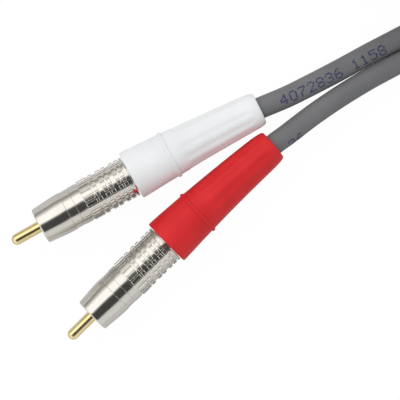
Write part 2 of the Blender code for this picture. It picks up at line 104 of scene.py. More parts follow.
def make_piece(name, points, faces, finish, uv=None, sharp=30):
    """A piece from its points and faces. A face that crosses the seam of its uv keeps it in one."""
    mesh = bpy.data.meshes.new(name)
    mesh.from_pydata([tuple(p) for p in points], [], faces)
    if uv is not None:
        layer = mesh.uv_layers.new(name="lathe")
        corners = np.array([uv[loop.vertex_index] for loop in mesh.loops])
        for face in mesh.polygons:
            part = corners[face.loop_start:face.loop_start + face.loop_total]
            if part[:, 1].max() - part[:, 1].min() > 0.5:
                part[part[:, 1] < 0.5, 1] += 1
        layer.data.foreach_set("uv", corners.ravel())
    mesh.shade_smooth()
    mesh.set_sharp_from_angle(angle=radians(sharp))
    mesh.materials.append(finish)
    return add_piece(name, mesh)


def lathe(profile, sides, closed=False):
    """A profile of (x, radius) turned round the plug's middle line: points, faces and their uv."""
    points, uv, rings, faces = [], [], [], []
    for x, r in profile:
        count = 1 if r == 0 else sides
        rings.append(range(len(points), len(points) + count))
        for i in range(count):
            a = 2 * pi * i / sides
            points.append((x, -r * sin(a), r * cos(a)))
            uv.append((x / 10, i / sides))
    pairs = list(zip(rings, rings[1:])) + ([(rings[-1], rings[0])] if closed else [])
    for first, second in pairs:
        for i in range(sides):
            j = (i + 1) % sides
            corners = [first[i % len(first)], first[j % len(first)],
                       second[j % len(second)], second[i % len(second)]]
            faces.append(list(dict.fromkeys(corners)))
    return points, faces, uv


def adder(tree):
    """A short way to add a node, with its inputs (their blanks as _) and its settings by name."""
    def add(kind, **settings):
        node = tree.nodes.new("ShaderNode" + kind)
        for key, value in settings.items():
            if key.replace("_", " ") in node.inputs:
                node.inputs[key.replace("_", " ")].default_value = value
            else:
                setattr(node, key, value)
        return node

    return add


def nodes_of(name, **settings):
    """A new material, its shader with these settings, and short ways to add and join nodes."""
    material = bpy.data.materials.new(name)
    material.use_nodes = True
    tree = material.node_tree
    shader = tree.nodes["Principled BSDF"]
    for key, value in settings.items():
        shader.inputs[key.replace("_", " ")].default_value = value
    return material, shader, adder(tree), tree.links.new


def ramp_stops(ramp, stops):
    elements = ramp.color_ramp.elements
    while len(elements) < len(stops):
        elements.new(0.5)
    for element, (place, colour) in zip(elements, stops):
        element.position = place
        element.color = (*colour, 1.0)


def make_finish(name, pattern, tones, roughness=None, relief=None, **settings):
    """A material whose pattern gives its colour, and its roughness where that has two limits.
    The relief is a pattern, or None for the same one, with its strength and its depth in metres."""
    material, shader, add, join = nodes_of(name, **settings)
    place = add("TexCoord")

    def texture(kind, along="Object", **look):
        node = add("Tex" + kind, **look)
        join(place.outputs[along], node.inputs["Vector"])
        return node.outputs["Distance" if kind == "Voronoi" else "Fac"]

    cloud = texture(**pattern)
    tone = add("ValToRGB")
    ramp_stops(tone, tones)
    join(cloud, tone.inputs["Fac"])
    join(tone.outputs["Color"], shader.inputs["Base Color"])
    if roughness:
        rough = add("MapRange", To_Min=roughness[0], To_Max=roughness[1])
        join(cloud, rough.inputs["Value"])
        join(rough.outputs["Result"], shader.inputs["Roughness"])
    if relief:
        other, strength, depth = relief
        bump = add("Bump", Strength=strength, Distance=depth)
        join(texture(**other) if other else cloud, bump.inputs["Height"])
        join(bump.outputs["Normal"], shader.inputs["Normal"])
    return material


def turned_lines(**look):
    """The fine lines that a lathe's tool leaves round a piece."""
    return dict(kind="Wave", along="UV", bands_direction="X", **look)


gold = make_finish("gold plate", dict(kind="Noise", Scale=420.0, Detail=3.0),
                   [(0.3, (0.86, 0.70, 0.34)), (0.7, (0.93, 0.80, 0.46))], (0.13, 0.24),
                   (turned_lines(Scale=22.0, Distortion=0.6, Detail=2.0), 0.06, 0.00002), Metallic=1.0)
PIN_RADIUS, PIN_WAIST, PIN_TIP, PIN_END, NOSE_LENGTH = 1.5875, 1.5, -9.0, 14.3, 1.5
CUP_START, CUP_RADIUS = 10.7, 0.76
pin_nose = [(PIN_TIP + NOSE_LENGTH * (1 - cos(radians(a))), PIN_RADIUS * sin(radians(a)))
            for a in range(0, 91, 9)]
pin_profile = pin_nose + [(8.4, PIN_RADIUS), (8.5, PIN_WAIST), (8.7, PIN_WAIST), (8.8, PIN_RADIUS),
                          (PIN_END - 0.1, PIN_RADIUS), (PIN_END, PIN_WAIST), (PIN_END, CUP_RADIUS),
                          (CUP_START, CUP_RADIUS), (CUP_START, 0.0)]
PIN_SIDES = 48
for plug in plugs:
    points, faces, uv = lathe(pin_profile, PIN_SIDES)
    pin = make_piece(f"{plug}_gold_pin", set_in_plug(points, plug), faces, gold, uv)
    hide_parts(f"{plug}_pin")

# Beads
# White plastic rings, moulded and pressed into the shell, that hold the pin in its middle.
bead_white = make_finish("bead plastic", dict(kind="Noise", Scale=900.0, Detail=4.0),
                         [(0.35, (0.80, 0.80, 0.77)), (0.65, (0.86, 0.86, 0.84))],
                         relief=(None, 0.15, 0.00003), Roughness=0.42, Subsurface_Weight=0.1,
                         Subsurface_Radius=(0.001, 0.001, 0.001))
BEAD_START, BEAD_BACK, BEAD_RADIUS, BEAD_BORE, BEAD_EDGE, DISH = 8.8, 13.7, 3.95, 1.84, 0.15, 0.35
bead_profile = [(BEAD_START + BEAD_EDGE, BEAD_BORE), (BEAD_START, BEAD_BORE + BEAD_EDGE),
                (BEAD_START, 2.4), (BEAD_START + DISH, 2.55), (BEAD_START + DISH, 3.3),
                (BEAD_START, 3.45), (BEAD_START, BEAD_RADIUS - BEAD_EDGE),
                (BEAD_START + BEAD_EDGE, BEAD_RADIUS), (BEAD_BACK, BEAD_RADIUS), (BEAD_BACK, BEAD_BORE)]
for plug in plugs:
    points, faces, uv = lathe(bead_profile, PIN_SIDES, closed=True)
    bead = make_piece(f"{plug}_bead", set_in_plug(points, plug), faces, bead_white, uv)
    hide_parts(f"{plug}_insulator")

# Shells
# Turned in one piece from brass bar and nickel-plated: a flared front with the socket in it, a sunk
# band between two fine lines, and a grip cut by 24 slots along it and by six grooves round it.
nickel = make_finish("nickel plate", dict(kind="Noise", Scale=260.0, Detail=4.0, Roughness=0.6),
                     [(0.3, (0.70, 0.675, 0.625)), (0.7, (0.77, 0.745, 0.70))], (0.09, 0.17),
                     (turned_lines(Scale=26.0, Distortion=1.2, Detail=3.0), 0.08, 0.00002), Metallic=1.0)
ROOT, CREST, TEETH, SLOT_HALF, SHELL_SIDES = 5.5, 5.95, 24, 0.225, 96
ROWS = [(14.4, 17.7), (18.15, 19.35), (20.5, 21.9), (22.35, 23.55), (24.7, 25.9), (26.35, 27.55)]
shell_profile = [(14.0, 2.1), (14.0, 4.2), (0.3, 4.2), (0.0, 4.45), (0.0, 4.9), (0.06, 5.07),
                 (0.25, 5.2), (0.6, 5.23), (1.8, 5.3), (2.9, 5.4), (4.0, 5.49), (5.1, 5.58),
                 (6.2, 5.66), (7.2, 5.7), (8.62, 5.7), (8.72, 5.67), (8.82, 5.54), (8.92, 5.6),
                 (11.46, 5.6), (11.56, 5.54), (11.68, 5.71), (13.8, 5.72), (13.93, 5.68),
                 (13.95, ROOT), (14.5, ROOT), (21.0, ROOT), (28.0, ROOT), (28.02, 5.88),
                 (28.08, CREST), (28.58, CREST), (28.68, 5.88), (28.7, 4.62), (33.2, 4.6),
                 (33.3, 4.5), (33.3, 2.75), (38.1, 2.75), (38.1, 2.1)]


def quads(rows, wide):
    """The faces of a grid of points, row after row."""
    return [(a, a + 1, a + wide + 1, a + wide)
            for i in range(rows - 1) for a in range(i * wide, i * wide + wide - 1)]


def file_of_lands():
    """The six lands that lie between two slots, one for each row, with their edges broken."""
    points, faces, uv = [], [], []
    half, slot, side, lip, wall = pi / TEETH, SLOT_HALF / CREST, radians(1.0), 0.15, 0.01
    foot, shoulder, brim = ROOT - 0.1, CREST - 0.1, CREST - 0.09
    angles = [(-half + slot * 0.3, foot), (-half + slot, shoulder), (-half + slot + side, CREST),
              (0.0, CREST), (half - slot - side, CREST), (half - slot, shoulder),
              (half - slot * 0.3, foot)]
    for low, high in ROWS:
        stations = [(low, foot), (low + wall, brim), (low + lip, CREST), ((low + high) / 2, CREST),
                    (high - lip, CREST), (high - wall, brim), (high, foot)]
        first = len(points)
        for x, level in stations:
            for angle, reach in angles:
                r = min(level, reach)
                points.append((x, -r * sin(angle), r * cos(angle)))
                uv.append((x / 10, 0.5 + angle / 2 / pi))
        faces += [tuple(first + corner for corner in face) for face in quads(len(stations), len(angles))]
    return points, faces, uv


def shape_nodes(name, **inputs):
    """A node tree that takes and gives a shape: the tree, the sockets of its other inputs, its two
    ends, and short ways to add and join nodes."""
    tree = bpy.data.node_groups.new(name, "GeometryNodeTree")
    face = tree.interface
    face.new_socket("Shape", in_out="INPUT", socket_type="NodeSocketGeometry")
    sockets = [face.new_socket(key, in_out="INPUT", socket_type="NodeSocket" + kind).identifier
               for key, kind in inputs.items()]
    face.new_socket("Shape", in_out="OUTPUT", socket_type="NodeSocketGeometry")
    add = tree.nodes.new
    return tree, sockets, add("NodeGroupInput"), add("NodeGroupOutput"), add, tree.links.new


def run_nodes(mesh, nodes, values):
    """The plain mesh that a node tree makes of a given one, with values for its other inputs."""
    tree, sockets = nodes
    carrier = bpy.data.objects.new(mesh.name, mesh)
    bpy.context.scene.collection.objects.link(carrier)
    modifier = carrier.modifiers.new("nodes", "NODES")
    modifier.node_group = tree
    for socket, value in zip(sockets, values):
        modifier[socket] = value
    bpy.context.view_layer.update()
    seen = carrier.evaluated_get(bpy.context.evaluated_depsgraph_get())
    plain = bpy.data.meshes.new_from_object(seen)
    bpy.data.objects.remove(carrier)
    return plain


def repeat_round_axis():
    """Copies what comes in round the X axis, welds the copies and gives them their finish."""
    tree, sockets, given, out, add, join = shape_nodes(
        "repeat round the axis", Copies="Int", Weld="Float", Finish="Material")
    seats, number, turn = add("GeometryNodePoints"), add("GeometryNodeInputIndex"), add("ShaderNodeMath")
    share, angle = add("ShaderNodeMath"), add("ShaderNodeCombineXYZ")
    place, real = add("GeometryNodeInstanceOnPoints"), add("GeometryNodeRealizeInstances")
    merge, coat = add("GeometryNodeMergeByDistance"), add("GeometryNodeSetMaterial")
    turn.operation, share.operation = "MULTIPLY", "DIVIDE"
    turn.inputs[1].default_value = 2 * pi
    join(given.outputs["Copies"], seats.inputs["Count"])
    join(number.outputs["Index"], turn.inputs[0])
    join(turn.outputs["Value"], share.inputs[0])
    join(given.outputs["Copies"], share.inputs[1])
    join(share.outputs["Value"], angle.inputs["X"])
    join(seats.outputs["Points"], place.inputs["Points"])
    join(given.outputs["Shape"], place.inputs["Instance"])
    join(angle.outputs["Vector"], place.inputs["Rotation"])
    join(place.outputs["Instances"], real.inputs["Geometry"])
    join(real.outputs["Geometry"], merge.inputs["Geometry"])
    join(given.outputs["Weld"], merge.inputs["Distance"])
    join(merge.outputs["Geometry"], coat.inputs["Geometry"])
    join(given.outputs["Finish"], coat.inputs["Material"])
    join(coat.outputs["Geometry"], out.inputs["Shape"])
    return tree, sockets


ring_nodes = repeat_round_axis()


def repeated(shape, copies, weld, finish):
    """A shape copied round the plug's middle line, as one plain mesh."""
    points, faces, uv = shape
    mesh = bpy.data.meshes.new("one of the ring")
    mesh.from_pydata(points, [], faces)
    layer = mesh.uv_layers.new(name="lathe")
    layer.data.foreach_set("uv", np.array([uv[loop.vertex_index] for loop in mesh.loops]).ravel())
    return run_nodes(mesh, ring_nodes, (copies, weld, finish))


def place_ring(plain, name, plug, finish, sharp=30):
    """A copy of a repeated shape, set in its plug and made a piece."""
    mesh = plain.copy()
    mesh.name = name
    flat = np.empty(len(mesh.vertices) * 3)
    mesh.vertices.foreach_get("co", flat)
    mesh.vertices.foreach_set("co", set_in_plug(flat.reshape(-1, 3), plug).ravel())
    mesh.materials.clear()
    mesh.materials.append(finish)
    mesh.shade_smooth()
    mesh.set_sharp_from_angle(angle=radians(sharp))
    return add_piece(name, mesh)


grip = repeated(file_of_lands(), TEETH, 0.0001, nickel)
for plug in plugs:
    points, faces, uv = lathe(shell_profile, SHELL_SIDES, closed=True)
    shell = make_piece(f"{plug}_nickel_shell", set_in_plug(points, plug), faces, nickel,
                       uv)
    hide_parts(f"{plug}_shell")
    place_ring(grip, f"{plug}_grip_lands", plug, nickel)

# Ferrules, cores and conductors
# A soft metal tube is squeezed over the braid behind each shell. The cable's white foam core and its
# copper conductor run on through the shell to the pin. The boots hide all three.
def plain_finish(name, shade, light, roughness, metallic, grain):
    return make_finish(name, dict(kind="Noise", Scale=grain, Detail=4.0), [(0.3, shade), (0.7, light)],
                       relief=(None, 0.2, 0.00004), Metallic=metallic, Roughness=roughness)


hidden_finishes = {
    "ferrule": plain_finish("ferrule nickel", (0.62, 0.60, 0.56), (0.70, 0.68, 0.64), 0.32, 1.0, 500),
    "core": plain_finish("core foam", (0.82, 0.82, 0.82), (0.90, 0.90, 0.90), 0.6, 0.0, 1500),
    "conductor": plain_finish("bare copper", (0.72, 0.38, 0.25), (0.84, 0.47, 0.31), 0.33, 1.0, 800)}
for plug in plugs:
    for part, finish in hidden_finishes.items():
        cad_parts[f"{plug}_{part}"].material_slots[0].material = finish

# Boots
# Strain reliefs moulded in soft plastic, white for one channel and red for the other, and pushed over
# the shell's spigot and the ferrule. A ridge goes round each, and twelve shallow flutes run along it.
def boot_plastic(name, shade, light, sheen):
    return make_finish(name, dict(kind="Noise", Scale=130.0, Detail=3.0), [(0.3, shade), (0.7, light)],
                       relief=(dict(kind="Noise", Scale=2600.0, Detail=2.0), 0.25, 0.00003),
                       Roughness=0.5, Specular_IOR_Level=sheen, Subsurface_Weight=0.06,
                       Subsurface_Radius=(0.0012, 0.0009, 0.0009))


boot_white = boot_plastic("white boot plastic", (0.79, 0.81, 0.82), (0.85, 0.87, 0.88), 0.5)
boot_red = boot_plastic("red boot plastic", (0.62, 0.010, 0.014), (0.70, 0.016, 0.021), 0.35)
FLUTES, FLUTE_DEPTH, FLUTE_START, FLUTE_END, FLUTE_IN, FLUTE_OUT = 12, 0.22, 15.4, 38.2, 1.6, 1.8
RIDGE_AT, RIDGE_HALF, RIDGE_HEIGHT = 12.2, 0.6, 0.42
SECTOR_STEPS = 8
BOOT_TAPER = [(0.0, 6.75), (0.1, 6.98), (0.4, 7.1), (4.7, 6.9), (8.0, 6.7), (12.2, 6.5), (18.8, 6.13),
              (26.3, 5.74), (31.3, 5.5), (36.6, 5.22), (38.2, 5.06), (39.4, 4.88), (40.1, 4.66),
              (40.4, 4.45), (40.5, 4.3)]


def boot_radius(x, part):
    """The boot's radius at x mm from its front. Part goes from 0 on a rib to 1 on the next."""
    ridge = sqrt(max(0.0, 1 - ((x - RIDGE_AT) / RIDGE_HALF) ** 2))
    ends = (min(1.0, max(0.0, (x - FLUTE_START) / FLUTE_IN))
            * min(1.0, max(0.0, (FLUTE_END - x) / FLUTE_OUT)))
    flute = (0.5 + 0.5 * cos((part - 0.5) * 2 * pi)) ** 1.4
    return float(np.interp(x, *zip(*BOOT_TAPER))) + RIDGE_HEIGHT * ridge - FLUTE_DEPTH * ends * flute


def boot_sector(groove_at):
    """A twelfth of the boot, outside and inside, from the middle of one rib to the next."""
    outside = [0.0, 0.1, 0.25, 0.4, *np.arange(0.9, 11.5, 0.45),
               *np.arange(RIDGE_AT - RIDGE_HALF, RIDGE_AT + RIDGE_HALF + 0.01, 0.12),
               *np.arange(13.1, 40.0, 0.45), 40.1, 40.3, 40.4, 40.5]
    inside = [(40.5, 3.6), (40.2, 3.55), (14.55, 3.55), (13.9, 4.2), (4.45, 4.2), (4.45, 4.85),
              (0.0, 4.85)]
    points, faces, uv = [], [], []
    rows = [(x, None) for x in outside] + inside
    for x, bore in rows:
        for k in range(SECTOR_STEPS + 1):
            part = k / SECTOR_STEPS
            angle = (part - 0.5 + groove_at) * 2 * pi / FLUTES
            r = boot_radius(x, part) if bore is None else bore
            points.append((BOOT_START + x, -r * sin(angle), r * cos(angle)))
            uv.append((x / 10, angle / 2 / pi))
    wide = SECTOR_STEPS + 1
    for i in range(len(rows)):
        for k in range(SECTOR_STEPS):
            a, b = i * wide + k, (i + 1) % len(rows) * wide + k
            faces.append((a, a + 1, b + 1, b))
    return points, faces, uv


for plug in plugs:
    is_white = plug.endswith("white")
    finish = boot_white if is_white else boot_red
    whole = repeated(boot_sector(0.0 if is_white else 0.5), FLUTES, 0.01, finish)
    boot = place_ring(whole, f"{plug}_strain_relief", plug, finish, sharp=40)
    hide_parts(f"{plug}_boot")

# Leads
# Each lead is one coaxial cable in a satin grey jacket, 914 mm long. It leaves its boot, lies down on
# the table, is wound with the other into a long loop four turns high, and ends in a plug on top of it.
CABLE_RADIUS, LEAD_LENGTH, JACKET_SIDES = 3.05, 914.0, 32
JACKET_START, FERRULE_END = 38.4, 42.4
FIRST_LAYER, LAYER_PITCH, LAST_LAYER = 4.35, 6.25, 23.1
SIDE_STEP, TURN_STEP = 5.0, 6.0    # between the points of the winding, in mm and in degrees
STEP_FROM, STEP_OVER = 78, 54      # where in a left fold it steps up a layer, in degrees
CLIMB_FROM, CLIMB_OVER = 54, 126   # where in its last fold it climbs onto the hank
routes = {"white": [(47.5, 1.85, 6.9), (54.8, 0.5, 6.4), (62.3, -0.75, 5.75), (68.1, -1.6, 5.2),
                    (73.8, -2.4, 4.7), (79.3, -3.3, 4.2), (85.2, -4.26, 3.7), (90.0, -5.06, 3.35),
                    (94.4, -5.7, 3.25), (102.5, -6.5, 3.4), (111.0, -6.8, 3.9)],
          "red": [(41.0, -6.75, 7.0), (47.5, -6.66, 6.8), (52.0, -6.68, 6.5), (58.2, -6.95, 6.0),
                  (64.2, -7.41, 5.45), (70.1, -8.05, 4.9), (75.8, -8.91, 4.4), (81.5, -9.84, 3.95),
                  (88.0, -11.0, 3.5), (94.0, -12.12, 3.25), (102.1, -12.75, 3.4),
                  (111.0, -13.15, 3.85)]}


def hank_strand(lead):
    """Points along the winding, anticlockwise from its left fold, to just before the far plug.
    The strand steps up a layer in each left fold, and climbs onto the hank in its last one."""
    fold = INNER_FOLD if lead == "white" else OUTER_FOLD
    half_turns = 8 if lead == "white" else 7
    strand = []
    for half in range(half_turns):
        side = 1 if half % 2 == 0 else -1
        last = half == half_turns - 1
        level = FIRST_LAYER + LAYER_PITCH * (half // 2)
        for along in np.arange(-HANK_STRAIGHT / 2, HANK_STRAIGHT / 2 - 1, SIDE_STEP):
            strand.append((HANK_X + side * along, HANK_Y - side * fold, level))
        for turn in np.arange(0.0, 179.0, TURN_STEP):
            climb = np.clip((turn - CLIMB_FROM) / CLIMB_OVER, 0, 1) if last else 0.0
            climb = climb * climb * (3 - 2 * climb)
            steps_up = side < 0 and not last
            step = np.clip((turn - STEP_FROM) / STEP_OVER, 0, 1) if steps_up else 0.0
            angle = radians(turn - 90 if side > 0 else turn + 90)
            radius = fold + (MIDDLE_FOLD - fold) * climb
            strand.append((HANK_X + side * HANK_STRAIGHT / 2 + radius * cos(angle),
                           HANK_Y + radius * sin(angle),
                           level + LAYER_PITCH * step + (FAR_HEIGHT - LAST_LAYER) * climb))
    return strand


def in_boot(plug):
    """The cable's middle line inside a plug, from the crimp barrel to the mouth of the boot, in mm."""
    xs = np.linspace(JACKET_START, PLUG_END, 6)
    return [tuple(p / MM) for p in set_in_plug(np.column_stack([xs, 0 * xs, 0 * xs]), plug)]


def walked_along(line):
    """How far along a line each of its points is."""
    return np.concatenate([[0], np.cumsum(np.linalg.norm(np.diff(line, axis=0), axis=1))])


def smooth_line(points, spacing, steps=16, smoothings=12):
    """Even points along a smooth curve through the given ones."""
    p = np.array([2 * np.array(points[0]) - points[1], *points, 2 * np.array(points[-1]) - points[-2]],
                 float)
    t = np.linspace(0, 1, steps, endpoint=False)[:, None]
    fine = [0.5 * (2 * b + (c - a) * t + (2 * a - 5 * b + 4 * c - d) * t ** 2
                   + (3 * b - a - 3 * c + d) * t ** 3)
            for a, b, c, d in zip(p, p[1:], p[2:], p[3:])]
    fine = np.vstack(fine + [p[-2]])
    for _ in range(smoothings):
        fine[1:-1] = fine[1:-1] * 0.5 + (fine[:-2] + fine[2:]) * 0.25
    walked = walked_along(fine)
    stops = np.linspace(0, walked[-1], round(walked[-1] / spacing) + 1)
    return np.column_stack([np.interp(stops, walked, fine[:, i]) for i in range(3)])


def extruder():
    """Draws a round jacket along a line, with closed ends and its finish."""
    tree, sockets, given, out, add, join = shape_nodes(
        "extrude the jacket", Radius="Float", Sides="Int", Finish="Material")
    curve, profile = add("GeometryNodeMeshToCurve"), add("GeometryNodeCurvePrimitiveCircle")
    sweep, real = add("GeometryNodeCurveToMesh"), add("GeometryNodeRealizeInstances")
    coat = add("GeometryNodeSetMaterial")
    sweep.inputs["Fill Caps"].default_value = True
    join(given.outputs["Shape"], curve.inputs["Mesh"])
    join(given.outputs["Radius"], profile.inputs["Radius"])
    join(given.outputs["Sides"], profile.inputs["Resolution"])
    join(curve.outputs["Curve"], sweep.inputs["Curve"])
    join(profile.outputs["Curve"], sweep.inputs["Profile Curve"])
    join(sweep.outputs["Mesh"], real.inputs["Geometry"])
    join(real.outputs["Geometry"], coat.inputs["Geometry"])
    join(given.outputs["Finish"], coat.inputs["Material"])
    join(coat.outputs["Geometry"], out.inputs["Shape"])
    return tree, sockets


jacket_grey = make_finish("grey jacket", dict(kind="Noise", Scale=60.0, Detail=5.0, Roughness=0.6),
                          [(0.3, (0.150, 0.152, 0.158)), (0.7, (0.185, 0.187, 0.193))], (0.46, 0.62),
                          (dict(kind="Noise", Scale=1900.0, Detail=3.0), 0.25, 0.00004),
                          Specular_IOR_Level=0.2)
jacket_nodes = extruder()
LINE_SPACING = 2.5
lead_lines, leads = {}, {}
for lead in ("white", "red"):
    shifted = [tuple(Vector(p) + LAYOUT_SHIFT) for p in routes[lead] + hank_strand(lead)]
    line = smooth_line(in_boot(lead) + shifted + in_boot("far_" + lead)[::-1], LINE_SPACING)
    mesh = bpy.data.meshes.new(f"{lead}_lead")
    mesh.from_pydata([tuple(p * MM) for p in line], [(i, i + 1) for i in range(len(line) - 1)], [])
    whole = run_nodes(mesh, jacket_nodes, (CABLE_RADIUS * MM, JACKET_SIDES, jacket_grey))
    whole.shade_smooth()
    whole.set_sharp_from_angle(angle=radians(50))
    thread = add_piece(f"{lead}_lead", whole)
    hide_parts(f"{lead}_cable", f"{lead}_coil", f"{lead}_tail")
    lead_lines[lead], leads[lead] = line, thread

# Print
# The jacket maker's ink-jet marks run along the leads: plain numbers in seven rows of small round
# dots. On the white lead they lie a little below the top; on the red one they have rolled to its side.
DIGITS = {"0": (14, 17, 17, 17, 17, 17, 14), "1": (4, 12, 4, 4, 4, 4, 14),
          "2": (14, 17, 1, 2, 4, 8, 31), "3": (14, 17, 1, 6, 1, 17, 14),
          "4": (2, 6, 10, 18, 31, 2, 2), "5": (31, 16, 30, 1, 1, 17, 14),
          "6": (6, 8, 16, 30, 17, 17, 14), "7": (31, 1, 2, 4, 8, 8, 8),
          "8": (14, 17, 17, 14, 17, 17, 14)}   # each row of dots as the bits of a number
DOT_COLUMNS, MIDDLE_ROW, DOT_SIDES = 5, 3, 10
DOT_PITCH, DOT_RADIUS, DIGIT_PITCH, INK_LIFT = 0.44, 0.27, 2.79, 0.014
# The text, how far from the boot it starts, how far left of the top, and how that changes per mm.
prints = {"white": ("4072836 1158", 6.1, -0.45, -0.013), "red": ("36", 3.6, -3.35, 0.0)}


def dot_places(lead):
    """Where each dot of ink goes on the jacket, with the way out of the jacket there."""
    text, start, across, drift = prints[lead]
    line = lead_lines[lead]
    walked = walked_along(line)
    mouth = PLUG_END - JACKET_START
    places, ways = [], []
    dots = [(number, row, column) for number, digit in enumerate(text)
            for row, bits in enumerate(DIGITS.get(digit, ()))
            for column in range(DOT_COLUMNS) if bits >> (DOT_COLUMNS - 1 - column) & 1]
    for number, row, column in dots:
        along = start + DIGIT_PITCH * number + DOT_PITCH * column
        at, ahead = (np.array([np.interp(mouth + s, walked, line[:, i]) for i in range(3)])
                     for s in (along, along + 1.0))
        forward = (ahead - at) / np.linalg.norm(ahead - at)
        left = np.cross((0.0, 0.0, 1.0), forward)
        left /= np.linalg.norm(left)
        round_by = (across + drift * along + DOT_PITCH * (MIDDLE_ROW - row)) / CABLE_RADIUS
        way = left * sin(round_by) + np.cross(forward, left) * cos(round_by)
        places.append(at + way * (CABLE_RADIUS + INK_LIFT))
        ways.append(way)
    return places, ways


def dot_stamper():
    """Puts a flat round dot of ink on each point, facing the way that the point says."""
    tree, sockets, given, out, add, join = shape_nodes("stamp the dots", Radius="Float", Ink="Material")
    points, dot = add("GeometryNodeMeshToPoints"), add("GeometryNodeMeshCircle")
    way, turn = add("GeometryNodeInputNamedAttribute"), add("FunctionNodeAlignRotationToVector")
    place, real = add("GeometryNodeInstanceOnPoints"), add("GeometryNodeRealizeInstances")
    coat = add("GeometryNodeSetMaterial")
    dot.fill_type, way.data_type, turn.axis = "NGON", "FLOAT_VECTOR", "Z"
    dot.inputs["Vertices"].default_value = DOT_SIDES
    way.inputs["Name"].default_value = "way out"
    join(given.outputs["Shape"], points.inputs["Mesh"])
    join(given.outputs["Radius"], dot.inputs["Radius"])
    join(way.outputs["Attribute"], turn.inputs["Vector"])
    join(points.outputs["Points"], place.inputs["Points"])
    join(dot.outputs["Mesh"], place.inputs["Instance"])
    join(turn.outputs["Rotation"], place.inputs["Rotation"])
    join(place.outputs["Instances"], real.inputs["Geometry"])
    join(real.outputs["Geometry"], coat.inputs["Geometry"])
    join(given.outputs["Ink"], coat.inputs["Material"])
    join(coat.outputs["Geometry"], out.inputs["Shape"])
    return tree, sockets


ink_blue = make_finish("marking ink", dict(kind="Noise", Scale=1400.0, Detail=3.0),
                       [(0.35, (0.040, 0.038, 0.105)), (0.7, (0.085, 0.083, 0.150))],
                       Roughness=0.55, Specular_IOR_Level=0.3)
stamp_nodes = dot_stamper()
for lead in prints:
    places, ways = dot_places(lead)
    mesh = bpy.data.meshes.new(f"{lead}_lead_print")
    mesh.from_pydata([tuple(p * MM) for p in places], [], [])
    way_out = mesh.attributes.new("way out", "FLOAT_VECTOR", "POINT")
    way_out.data.foreach_set("vector", np.ravel(ways))
    add_piece(f"{lead}_lead_print", run_nodes(mesh, stamp_nodes, (DOT_RADIUS * MM, ink_blue)))

# Straps
# Two black hook-and-loop straps go round the long sides of the hank, pulled tight and lapped over on
# the outside. They hold the turns together and carry them just clear of the table.
strap_black = make_finish("strap fabric", dict(kind="Voronoi", Scale=2200.0),
                          [(0.1, (0.012, 0.012, 0.014)), (0.8, (0.045, 0.045, 0.050))],
                          relief=(None, 0.6, 0.0002), Roughness=0.85, Sheen_Weight=0.3)
STRAP_HALF, STRAP_THICK, STRAP_CORNER, STRAP_PLAY, STRAP_EDGE = 4.5, 1.0, 2.5, 0.3, 0.25
STRAP_LAP, LAP_RAMP = 11.0, 0.8
STRAP_INSIDE = INNER_FOLD - CABLE_RADIUS - STRAP_PLAY
STRAP_OUTSIDE = OUTER_FOLD + CABLE_RADIUS + STRAP_PLAY
STRAP_LOW, STRAP_HIGH = STRAP_THICK, LAST_LAYER + CABLE_RADIUS + STRAP_PLAY
STRAP_MIDDLE = (STRAP_LOW + STRAP_HIGH) / 2


def strap_line():
    """The strap's inner face, seen from its side, as points with the way out of the strap."""
    line = []
    corners = [(STRAP_INSIDE, STRAP_LOW, 180), (STRAP_OUTSIDE, STRAP_LOW, 270),
               (STRAP_OUTSIDE, STRAP_HIGH, 0), (STRAP_INSIDE, STRAP_HIGH, 90)]
    for x, z, start in corners:
        cx = x + (STRAP_CORNER if x == STRAP_INSIDE else -STRAP_CORNER)
        cz = z + (STRAP_CORNER if z == STRAP_LOW else -STRAP_CORNER)
        for turn in range(0, 91, 10):
            a = radians(start + turn)
            line.append((cx + STRAP_CORNER * cos(a), cz + STRAP_CORNER * sin(a), cos(a), sin(a)))
        if start == 270:
            line += [(x, STRAP_MIDDLE + offset, 1.0, 0.0) for offset in np.linspace(-7.0, 7.0, 15)]
    return line


def strap_shape():
    """The strap's cross-section carried along its line, twice as thick where its end laps over."""
    edge, rim = STRAP_HALF - STRAP_EDGE, STRAP_THICK - STRAP_EDGE
    section = [(-edge, 0.0), (-STRAP_HALF, STRAP_EDGE), (-STRAP_HALF, rim), (-edge, STRAP_THICK),
               (0.0, STRAP_THICK), (edge, STRAP_THICK), (STRAP_HALF, rim), (STRAP_HALF, STRAP_EDGE),
               (edge, 0.0), (0.0, 0.0)]
    points, faces, line, wide = [], [], strap_line(), len(section)
    for x, z, out_x, out_z in line:
        lap = (STRAP_LAP / 2 - abs(z - STRAP_MIDDLE)) / LAP_RAMP if out_x == 1.0 else 0.0
        layers = 1 + float(np.clip(lap, 0, 1))
        for y, depth in section:
            points.append((x + out_x * depth * layers, y, z + out_z * depth * layers))
    for i in range(len(line)):
        a, b = i * wide, (i + 1) % len(line) * wide
        for k in range(wide):
            faces.append((a + k, b + k, b + (k + 1) % wide, a + (k + 1) % wide))
    return points, faces


points, faces = strap_shape()
for number, turn in ((1, -90.0), (2, 90.0)):
    place = Matrix.Translation((HANK_X + LAYOUT_SHIFT.x, HANK_Y + LAYOUT_SHIFT.y, 0))
    place = place @ Matrix.Rotation(radians(turn), 4, "Z")
    strap = make_piece(f"strap_{number}", [(place @ Vector(p)) * MM for p in points], faces,
                       strap_black, sharp=40)
    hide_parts(f"coil_tie_{number}")

# For each lead, the point where its ferrule ends is worked out; nothing uses it.
for lead, thread in leads.items():
    ferrule_end = set_in_plug([(FERRULE_END, 0.0, 0.0)], lead)[0]

